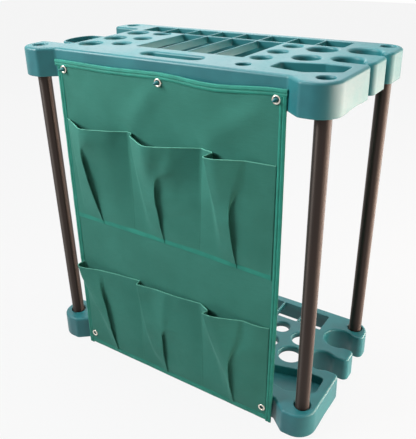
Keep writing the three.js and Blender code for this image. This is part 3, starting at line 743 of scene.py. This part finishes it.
def pull(x, z, line, width):
    """How strongly a soft pull lifts the cloth at a point."""
    start, end = (complex(*place) for place in line)
    along, place = end - start, complex(x, z) - start
    share = clamped(dot(place, along) / abs(along) ** 2)
    across = abs(place - along * share)
    return math.sin(math.pi * share) ** 0.6 * math.exp(-((across / width) ** 2))


def relief(x, z):
    """How far the hung cloth lies in front of its plain surface: soft pulls and slow waves."""
    lift = sum(height * pull(x, z, line, width) for line, height, width in PULLS)
    slow = waves(x / 170, 3.1, z / 150) + 0.4 * waves(x / 60, 7.7, z / 75)
    edge = min(x - PANEL_LOW.x, PANEL_HIGH.x - x, PANEL_HIGH.z - z, z - PANEL_LOW.z)
    return lift + 2.4 * slow * clamped(edge / 45)


def bow_at(x):
    """How far the top edge bows and sags at x, from 0 at an eyelet to 1 midway."""
    half = 0 if x < PANEL_MIDDLE else 1
    along = (x - PANEL_MIDDLE) / (TOP_EYELET_XS[half + 1] - TOP_EYELET_XS[half])
    if abs(along) > 1:
        return 0
    return (LEFT_BOW_SHARE if along < 0 else 1) * math.sin(math.pi * along) ** 2


def panel_edge(x):
    return PANEL_HIGH.z - TOP_SAG * bow_at(x)


def panel_front(x, z):
    """The y of the panel's front face: it leans out to the foot and bows out between the top eyelets."""
    fall = (PANEL_HIGH.z - z) / (PANEL_HIGH.z - PANEL_LOW.z)
    wave = TOP_WAVE * bow_at(x) * math.exp((z - PANEL_HIGH.z) / TOP_WAVE_FADE)
    return PANEL_FRONT_AT_TOP - PANEL_LEAN * fall - wave - relief(x, z)


def cloth(name, thickness, *grids):
    """Sheets with their front faces through grids of points."""
    points, faces = [], []
    for grid in grids:
        first, columns = len(points), len(grid[0])
        points += [p for row in grid for p in row]
        for j in range(len(grid) - 1):
            for i in range(columns - 1):
                a = first + j * columns + i
                faces.append((a, a + 1, a + columns + 1, a + columns))
    sheets = new_object(name, points, faces)
    solid = sheets.modifiers.new("cloth thickness", "SOLIDIFY")
    solid.thickness = thickness * MM
    solid.offset = -1
    return applied(sheets)


def barrel_cutters(names):
    """Round bars through the cloth for the eyelets' barrels."""
    bodies = []
    for name in names:
        x, z = EYELETS[name]
        outline = circle(x, z, BARREL_CUT, 40)
        bodies.append([(outline, -PANEL_LOW.y - 40), (outline, -PANEL_LOW.y + 40)])
    return stacked_forward(*bodies)


def spaced(low, high, step):
    count = round((high - low) / step)
    return [low + (high - low) * i / count for i in range(count + 1)]


def hung_panel():
    xs = spaced(PANEL_LOW.x, PANEL_HIGH.x, 4)
    rows = [[(x, blend(PANEL_LOW.z, panel_edge(x), share)) for x in xs] for share in shares(PANEL_ROWS)]
    grid = [[(x, panel_front(x, z), z) for x, z in row] for row in rows]
    panel = combine(cloth("hung_panel", CLOTH_THICK, grid), "DIFFERENCE", barrel_cutters(EYELET_NAMES))
    return dress(panel, CLOTH, "pocket_cloth", "pocket_panel")


# Pocket pleats, in millimetres from the pocket's left seam and in front of the panel.
# crease and slit are lines at five even heights up to the mouth: the front corner of the pleat's face, and the free
# edge of the fold beside it. Each *_out is a line's reach at the mouth, and how much it bellies below that.
# lip, swell, behind and main are points of the mouth: the folded lip left of the crease, a soft point between
# crease and slit, and two points on the pocket's own face right of the fold. shut is where the slit starts to open
# and where it is open, as shares of the height, and deep is how far the fold goes in behind the slit.
Pleat = namedtuple("Pleat", "crease crease_out slit slit_out lip swell behind main shut deep")
PLEATS = {
    "upper": (
        Pleat((27, 23, 21, 19, 22), (11.5, 1), (79, 68, 61.5, 57, 64), (34, 3),
              (8, 4), (43, 22.5), (77, 33.5), (128, 19), (0.6, 0.92), 9),
        Pleat((57, 44, 34, 25.5, 20), (16, 3), (85, 81, 81, 93, 114), (32, 5),
              (12, 1.5), (74, 44.5), (127, 27), (150, 16), (0.5, 0.8), 8),
        Pleat((60, 54.5, 47.5, 38.5, 32), (33, 0), (89, 84.5, 83, 90, 100), (14, 12),
              (40, 7), (53, 33.5), (108, 10.5), (135, 5.5), (0.42, 0.88), 8),
    ),
    "lower": (
        Pleat((86, 72, 45, 21, 1), (25.5, 2), (88, 81.5, 75.5, 64, 57), (14.5, 7),
              (-5, 16), (30, 21.5), (70, 12), (115, 5), (0.62, 0.95), 9),
        Pleat((70, 38, 22, 12, 5), (16, 3), (76, 73, 74, 80, 84), (8, 9),
              (5, 2), (45, 8.5), (98, 7.5), (128, 6), (0.42, 0.6), 7),
        Pleat((81, 72, 54, 33, 18.5), (26.5, 0), (87, 84, 83, 92, 102), (7, 14),
              (28, 14), (46, 25.8), (109, 4.5), (141, 5.3), (0.35, 0.85), 7),
    ),
}
TUCK = 11
SEAM_DROP = 9
SEAM_LEAN = 13
LIP_FADE = 0.45
HEM_RADIUS = 1.1
HEM_SIDES = 8


def blend(a, b, share):
    return a + (b - a) * share


def ease(share):
    share = clamped(share)
    return share * share * (3 - 2 * share)


def along_line(places, rise):
    """A smooth curve through evenly spaced places."""
    last = len(places) - 1
    k = min(int(rise * last), last - 1)
    t = rise * last - k
    near = [places[min(max(k + i, 0), last)] for i in (-1, 0, 1, 2)]
    slope_a, slope_b = (near[2] - near[0]) / 2, (near[3] - near[1]) / 2
    bend = (t * t * t - 2 * t * t + t) * slope_a + (t * t * t - t * t) * slope_b
    return blend(near[1], near[2], ease(t)) + bend


def pleat_section(pleat, width, rise):
    """Control points between one pocket's seams at a height share, each with its corner radius.

    A point is complex: its distance from the pocket's left seam, and its reach in front of the panel.
    """
    round_out = 4 * rise * (1 - rise)
    near_mouth = ease((rise - 0.5) / 0.5)

    def fold(places, foot_out, mouth_out, belly):
        return complex(along_line(places, rise), blend(foot_out, mouth_out, rise) + belly * round_out)

    def towards_mouth(low, place):
        return blend(low, complex(*place), near_mouth)

    crease, slit = fold(pleat.crease, 0.6, *pleat.crease_out), fold(pleat.slit, 2.3, *pleat.slit_out)
    shut_start, shut_end = pleat.shut
    closed = 1 - ease((rise - shut_start) / (shut_end - shut_start))
    under = max(slit.imag - blend(1.2, pleat.deep, ease(rise / 0.3)), 0.5 + 0.25 * slit.imag)
    tucked = complex(slit.real - TUCK, under)
    lip_low = complex(crease.real * 0.75, crease.imag * 0.3)
    lip = blend(lip_low, complex(*pleat.lip), ease((rise - LIP_FADE) / (1 - LIP_FADE)))
    swell = towards_mouth(blend(crease, slit, 0.5) + 1j * round_out, pleat.swell)
    behind = blend(towards_mouth(slit + (12 - 3j), pleat.behind), tucked, closed)
    main = towards_mouth(complex(blend(tucked.real, width, 0.55), under * 0.5 + 2.6 * round_out), pleat.main)
    slit_radius, behind_radius = blend(9, 1.1, closed), blend(16, 1.4, closed)
    return [
        (lip, 5), (crease, 2.5 + 2 * rise), (swell, 25), (slit, slit_radius), (behind, behind_radius), (main, 30)]


def filleted(points):
    """A line through control points with its corners rounded, always with the same number of points."""
    leg, bend = shares(6)[:-1], shares(5)[:-1]
    line, here = [], points[0][0]
    for (last, _), (corner, radius), (following, _) in zip(points, points[1:], points[2:]):
        before, after = last - corner, following - corner
        reach = min(radius, 0.45 * abs(before), 0.45 * abs(after))
        start, end = corner + unit(before) * reach, corner + unit(after) * reach
        line += [blend(here, start, t) for t in leg]
        line += [start * (1 - t) ** 2 + corner * 2 * t * (1 - t) + end * t * t for t in bend]
        here = end
    return line + [blend(here, points[-1][0], t) for t in leg]


def mouth_height(row, x):
    """The height of a strip's mouth where it lies on the panel."""
    if row == "lower":
        return LOWER_HIGH.z + 2.5
    share = (x - SEAM_XS[0]) / (SEAM_XS[3] - SEAM_XS[0])
    return UPPER_HIGH.z - 0.5 + 6.5 * (1 - clamped(share)) ** 1.5 - 4 * ease((share - 0.75) * 4)


def seam_lean(row, k, rise):
    """How far a seam stands off its straight line: the upper row's right-hand one leans to the right."""
    return SEAM_LEAN * (rise - 0.3) if row == "upper" and k == 2 else 0


def seam_drop(x):
    """How much lower the foot of the upper pockets runs towards the right."""
    return SEAM_DROP * max(0, x / SEAM_XS[3])


def pocket_grid(row, foot):
    """The front face of a pocket strip as rows of points, from its foot to its mouth."""
    grid = []
    seed = len(row) * 5.3
    for rise in shares(POCKET_ROWS):
        line = []
        for k, pleat in enumerate(PLEATS[row]):
            section = pleat_section(pleat, SEAM_XS[k + 1] - SEAM_XS[k], rise)
            left, right = (SEAM_XS[i] + seam_lean(row, i, rise) for i in (k, k + 1))
            line += filleted([(left, 0), *((SEAM_XS[k] + p, radius) for p, radius in section), (right, 0)])
        line.append(SEAM_XS[3] + 0j)
        points = []
        for p in line:
            low = foot - (seam_drop(p.real) if row == "upper" else 0)
            tall = mouth_height(row, p.real) - low
            z = low + (tall - p.imag ** 2 / (2 * tall)) * rise
            uneven = waves(p.real / 48, seed, z / 40) + 0.5 * waves(p.real / 20, seed + 4, z / 22)
            out = p.imag + 1.3 * uneven * min(1, p.imag / 9)
            points.append((p.real, panel_front(p.real, z) - LAYER - out, z))
        grid.append(points)
    return grid


def pocket_strip(row, foot, eyelets=()):
    """A strip of three pockets, and the line of its mouth."""
    grid = pocket_grid(row, foot)
    strip = cloth(f"{row}_pockets", CLOTH_THICK * 0.9, grid)
    if eyelets:
        combine(strip, "DIFFERENCE", barrel_cutters(eyelets))
    return dress(strip, CLOTH, "pocket_cloth", f"{row}_pocket_strip", sharp=60), grid[-1]


def mouth_hem(name, line):
    """The rolled hem along a strip's mouth: a closed round tube."""
    places = [Vector((x, y + CLOTH_THICK * 0.45, z)) for x, y, z in line]
    points = []
    for i, place in enumerate(places):
        along = (places[min(i + 1, len(places) - 1)] - places[max(i - 1, 0)]).normalized()
        side = along.cross(Vector((0, 0, 1))).normalized()
        up = side.cross(along)
        points += [place + HEM_RADIUS * (spoke.real * side + spoke.imag * up) for spoke in spokes(HEM_SIDES)]
    hem = facing_out(new_object(name, points, closed_faces(len(places), HEM_SIDES)))
    return dress(hem, HEM, "binding_tape")


BINDING_WIDTH = 12
SIDE_TAPE_END = 4
SIDE_BOW = 2.5
TOP_TAPE_ENDS = (7, 2)


def binding_section(lift):
    """The folded tape's section: how far in from the sheet's edge, and how far back from the sheet's front."""
    front, back = -LAYER - lift, LAYER + CLOTH_THICK + lift
    section = [(BINDING_WIDTH, front + 0.7), (BINDING_WIDTH - 0.8, front + 0.1)]
    for t in shares(12):
        across = blend(BINDING_WIDTH - 1.5, 1.2, t)
        dent = 0.8 * math.exp(-(((across - BINDING_WIDTH / 2) / 1.3) ** 2))
        section.append((across, front - 0.5 * abs(math.sin(2 * math.pi * t)) ** 0.7 + dent))
    for t in shares(8):
        bend = cmath.rect(1, math.pi * (t - 0.5))
        section.append((0.2 - 1.9 * bend.real, (front + back) / 2 + (back - front) / 2 * bend.imag))
    section += [(1.2, back), (BINDING_WIDTH, back), (BINDING_WIDTH, back - 0.9), (1, back - 0.9)]
    section += [(0.2, CLOTH_THICK + 0.15), (0.2, CLOTH_THICK / 2), (0.2, -0.15)]
    return section + [(1, front + 1), (BINDING_WIDTH, front + 1)]


def binding(name, place, length, node, lift=0):
    """A tape folded over an edge of the panel: place(share, inwards) gives x and z of a point on the sheet."""
    section = binding_section(lift)
    rings = round(length / 4)
    points = []
    for share in shares(rings):
        pucker = 0.25 * waves(share * length / 9, len(name), 0.5) + 0.5 * waves(share * length / 34, len(name), 7.5)
        front = panel_front(*place(share, 0))
        for inwards, back in section:
            x, z = place(share, inwards)
            points.append((x, front + back - (pucker if back < 0 else 0), z))
    made = facing_out(new_object(name, points, closed_faces(rings + 1, len(section))), 4)
    return dress(made, TAPE, "binding_tape", node, sharp=55)


def panel_bindings():
    """The side tapes run past the foot, and the top tape runs over them and a little past the left corner."""
    left, right, low, high = PANEL_LOW.x, PANEL_HIGH.x, PANEL_LOW.z, PANEL_HIGH.z
    inner = BINDING_WIDTH + GAP
    foot, wide = low - SIDE_TAPE_END, right - left - 2 * inner
    tall = high - 1.5 - foot
    start, span = left - TOP_TAPE_ENDS[0], right - left + sum(TOP_TAPE_ENDS)

    def right_edge(share, inwards):
        return right + SIDE_BOW * math.sin(math.pi * share) - inwards, foot + tall * share

    def top_edge(share, inwards):
        x = start + span * share
        return x, panel_edge(x) - inwards

    return [
        binding("side_binding_left", lambda s, i: (left + i, foot + tall * s), tall, "left_binding"),
        binding("side_binding_right", right_edge, tall, "right_binding"),
        binding("edge_binding_top", top_edge, span, "top_binding", 1),
        binding("edge_binding_bottom", lambda s, i: (left + inner + wide * s, low + i), wide, "bottom_binding"),
    ]


def stitch_lines(name, lines, lift):
    """Short thread stitches along lines of (x, z) points on the panel."""
    pitch, length, radius, sides = 3.6, 2.7, 0.38, 6
    points, faces = [], []
    for line in lines:
        start, end = (complex(*place) for place in line)
        along = unit(end - start)
        for k in range(int(abs(end - start) / pitch)):
            middle = start + along * (k + 0.5) * pitch
            first = len(points)
            for t, r, sink in ((-0.5, 0.2, 0.35), (-0.3, 0.9, 0), (0.3, 0.9, 0), (0.5, 0.2, 0.35)):
                p = middle + along * length * t
                y = panel_front(p.real, p.imag) - lift + sink
                for spoke in spokes(sides):
                    off = p + along * 1j * radius * r * spoke.real
                    points.append((off.real, y - radius * r * spoke.imag, off.imag))
            faces += closed_faces(4, sides, first)
    return dress(new_object(name, points, faces), THREAD, "binding_tape")


def seam_tape():
    """The flat tape sewn along the foot of the upper pockets, in four lengths between the pleats' feet."""
    low, high = extent("upper_seam_tape")
    feet = [SEAM_XS[k] + pleat.slit[0] for k, pleat in enumerate(PLEATS["upper"])]
    grids = []
    for left, right in zip([SEAM_XS[0]] + [x + 1.2 for x in feet], [x - 0.8 for x in feet] + [SEAM_XS[3]]):
        xs = spaced(left, right, 3)
        grid = []
        for z in spaced(low.z - 1.5, high.z + 1.5, 1.2):
            t = (z - low.z + 1.5) / (high.z - low.z + 3)
            crown = 0.4 * math.sin(math.pi * t) - 0.3 * math.exp(-(((t - 0.5) / 0.12) ** 2))
            grid.append([(x, panel_front(x, z) - LAYER - crown, z - seam_drop(x)) for x in xs])
        grids.append(grid)
    return dress(cloth("pocket_seam_tape", 0.9, *grids), TAPE, "binding_tape", "upper_seam_tape")


def turned(name, profile, x, z, y, sides=ROUND_SIDES):
    """A closed ring about an axis along Y: the profile is (radius, distance behind y)."""
    points = []
    for spoke in spokes(sides):
        points += [(x + r * spoke.real, y + back, z + r * spoke.imag) for r, back in profile]
    faces = [[i % len(points) for i in face] for face in ring_faces(sides + 1, len(profile))]
    return facing_out(new_object(name, points, faces))


def eyelets():
    """Each eyelet's crowned ring and barrel, and its washer behind."""
    made = []
    middle, half = (EYELET_HOLE + EYELET_RADIUS) / 2, (EYELET_RADIUS - EYELET_HOLE) / 2
    for name, (x, z) in EYELETS.items():
        top = name.startswith("top")
        y = panel_front(x, z) + (relief(x, z) if top else 0)
        near = 2 * LAYER if top else LAYER
        seat, end = -GAP - LAYER - (0 if top else 0.5), near + 0.8
        profile = [(EYELET_HOLE, end), (EYELET_HOLE, seat)]
        for t in shares(10):
            crown = cmath.rect(1, math.pi * t)
            profile.append((middle - half * crown.real, seat - 0.35 - 1.35 * crown.imag))
        profile += [(EYELET_RADIUS - 0.3, seat), (BARREL_RADIUS, seat), (BARREL_RADIUS, end)]
        ring = turned(f"{name}_ring", profile, x, z, y)
        made.append(dress(ring, NICKEL, "eyelet_metal", f"{name}_eyelet"))
        plate = [(BARREL_CUT, near), (EYELET_RADIUS - 0.3, near), (EYELET_RADIUS, near + 0.3)]
        plate += [(EYELET_RADIUS - 0.4, near + 0.7), (BARREL_CUT + 0.6, near + 0.8), (BARREL_CUT, near + 0.6)]
        washer = turned(f"{name}_back_plate", plate, x, z, y)
        made.append(dress(washer, NICKEL, "eyelet_metal", f"{name}_washer"))
    return made


def steel_tubes():
    profile = [(TUBE_RADIUS, z) for z in spaced(TUBE_LOW + TUBE_EDGE, TUBE_HIGH - TUBE_EDGE, 60)]
    inner, edge = TUBE_RADIUS - TUBE_WALL, TUBE_RADIUS - TUBE_EDGE
    profile += [(edge, TUBE_HIGH), (inner, TUBE_HIGH), (inner, TUBE_LOW), (edge, TUBE_LOW)]
    for name, (x, y) in zip(("front_left", "front_right", "back_left", "back_right"), TUBE_PLACES):
        tube = turned(f"{name}_post", profile, 0, 0, 0, 72)
        tube.data.transform(Matrix(((1, 0, 0, x * MM), (0, 0, 1, y * MM), (0, 1, 0, 0), (0, 0, 0, 1))))
        tube.data.flip_normals()
        dress(tube, STEEL, "tube_steel", f"{name}_tube")


def trays():
    top = tray_body("moulded_top_tray", TOP_SIDE, top_socket, 0)
    places = [EYELETS[name] for name in EYELET_NAMES]
    pegs = [forward_peg(x, z - TOP_LOW.z, PEG_LENGTH, PEG_CONE) for x, z in places[:3]]
    combine(top, "UNION", side_loop(), *pegs)
    top.data.transform(Matrix.Translation((0, 0, TOP_LOW.z * MM)))
    base = tray_body("moulded_base_tray", BASE_SIDE, cup_socket, RECESS_FLOOR)
    studs = [forward_peg(x, z, RECESS_FRONT - panel_front(x, z), STUD_CHAMFER) for x, z in places[3:]]
    combine(base, "UNION", *studs)
    dress(top, PLASTIC, "tray_plastic", "top_tray")
    dress(base, PLASTIC, "tray_plastic", "base_tray")


# Camera, solved from the photograph: place in metres, azimuth, elevation and roll in degrees, lens in millimetres
CAMERA_PLACE = (0.6829, -1.00967, 0.9699)
CAMERA_TURNS = (33.91, 26.66, -1.21)
CAMERA_LENS = 46.76


def make_camera():
    azimuth, elevation, roll = (math.radians(angle) for angle in CAMERA_TURNS)
    turn = Matrix.Rotation(azimuth, 4, "Z") @ Matrix.Rotation(math.pi / 2 - elevation, 4, "X")
    camera = linked("camera", bpy.data.cameras.new("camera"))
    camera.matrix_world = Matrix.Translation(CAMERA_PLACE) @ turn @ Matrix.Rotation(roll, 4, "Z")
    camera.data.lens = CAMERA_LENS
    camera.data.sensor_width = 36
    camera.data.clip_start, camera.data.clip_end = 0.05, 60
    bpy.context.scene.camera = camera


def area_light(name, place, target, size, power, tint, spread=180):
    light = bpy.data.lights.new(name, "AREA")
    light.shape = "RECTANGLE"
    light.size, light.size_y = size
    light.energy = power
    light.spread = math.radians(spread)
    light.color = tint
    lamp = linked(name, light)
    lamp.location = place
    lamp.rotation_mode = "QUATERNION"
    lamp.rotation_quaternion = (Vector(target) - Vector(place)).to_track_quat("-Z", "Y")


def white_where_seen(tree, shader, share):
    """Mixes plain white into what the camera and reflections see of a shader."""
    rays = add_node(tree, "LightPath")
    seen = rays["Is Camera Ray"]
    for kind in ("Is Transmission Ray", "Is Glossy Ray"):
        seen = add_node(tree, "Math", {0: seen, 1: rays[kind]}, operation="MAXIMUM")[0]
    part = add_node(tree, "Math", {0: seen, 1: share}, operation="MULTIPLY")[0]
    kind = "Background" if shader.node.bl_idname.endswith("Background") else "Emission"
    white = add_node(tree, kind, {"Color": (1, 1, 1, 1)})[0]
    return add_node(tree, "MixShader", {0: part, 1: shader, 2: white})[0]


def studio():
    """Plain pale floor and world, a warm key from the right, a soft top light and a cool fill."""
    world = bpy.data.worlds.new("studio")
    world.use_nodes = True
    bpy.context.scene.world = world
    tree = world.node_tree
    background = tree.nodes["Background"]
    background.inputs["Color"].default_value = (0.86, 0.93, 1, 1)
    background.inputs["Strength"].default_value = 0.08
    tree.links.new(white_where_seen(tree, background.outputs[0], 1), tree.nodes["World Output"].inputs[0])

    reach = 8 / MM
    corners = [(-reach, -reach, 0), (reach, -reach, 0), (reach, reach, 0), (-reach, reach, 0)]
    floor = new_object("floor", corners, [(0, 1, 2, 3)])
    finish = bpy.data.materials.new("pale floor")
    finish.use_nodes = True
    tree = finish.node_tree
    surface = tree.nodes["Principled BSDF"]
    surface.inputs["Base Color"].default_value = (0.36, 0.36, 0.36, 1)
    surface.inputs["Roughness"].default_value = 0.9
    tree.links.new(white_where_seen(tree, surface.outputs[0], 0.9), tree.nodes["Material Output"].inputs[0])
    floor.data.materials.append(finish)

    area_light("warm side light", (1.75, 1.3, 0.4), (0.15, 0, 0.4), (2.4, 0.9), 38, (1, 0.82, 0.7))
    area_light("warm front light", (2.3, -0.15, 0.42), (0.3, 0, 0.4), (1.2, 0.9), 22, (1, 0.82, 0.7))
    area_light("warm low light", (1.15, 0.6, 0.2), (0.33, 0, 0.06), (1.2, 0.36), 16, (1, 0.8, 0.68))
    area_light("back light", (-1.7, 2.3, 1.7), (0, 0, 0.7), (2.2, 1.6), 17, (0.95, 0.98, 1))
    area_light("top light", (-0.1, 0.2, 2.5), (0, 0, 0.7), (1.6, 1.2), 40, (0.96, 0.98, 1))
    area_light("cool fill", (-1.4, -1.45, 1.75), (0.15, -0.1, 0.76), (1.1, 0.9), 13.4, (0.9, 0.97, 1), 80)
    bpy.context.scene.view_settings.view_transform = "Standard"


def pocket_panel_pieces():
    panel = hung_panel()
    upper, upper_mouth = pocket_strip("upper", UPPER_LOW.z)
    lower, lower_mouth = pocket_strip("lower", LOWER_LOW.z, EYELET_NAMES[3:])
    hems = [mouth_hem("upper_mouth_hem", upper_mouth), mouth_hem("lower_mouth_hem", lower_mouth)]
    tapes = panel_bindings()
    tapes.append(seam_tape())
    rings = eyelets()
    left, right, low, high = PANEL_LOW.x, PANEL_HIGH.x, PANEL_LOW.z, PANEL_HIGH.z
    inset_by = BINDING_WIDTH / 2
    edges = [((x, low + 3), (x, high - 3)) for x in (left + inset_by, right - inset_by)]
    edges.append(((left + 14, low + inset_by), (right - 14, low + inset_by)))
    top = [(x, panel_edge(x) - inset_by) for x in spaced(left + 14, right - 14, 26)]
    stitches = stitch_lines("binding_stitches", edges + list(zip(top, top[1:])), LAYER + 0.15)
    seam_lines = []
    for k, x in enumerate(SEAM_XS[1:3], 1):
        start, end = (x + seam_lean("upper", k, rise) + 1 for rise in (0.02, 0.96))
        seam_lines.append(((start, UPPER_LOW.z + 2), (end, UPPER_HIGH.z - 8)))
        seam_lines.append(((x + 1, LOWER_LOW.z + 2), (x + 1, LOWER_HIGH.z - 4)))
    seams = stitch_lines("pocket_seam_stitches", seam_lines, LAYER + 1)


make_camera()
studio()
trays()
steel_tubes()
pocket_panel_pieces()
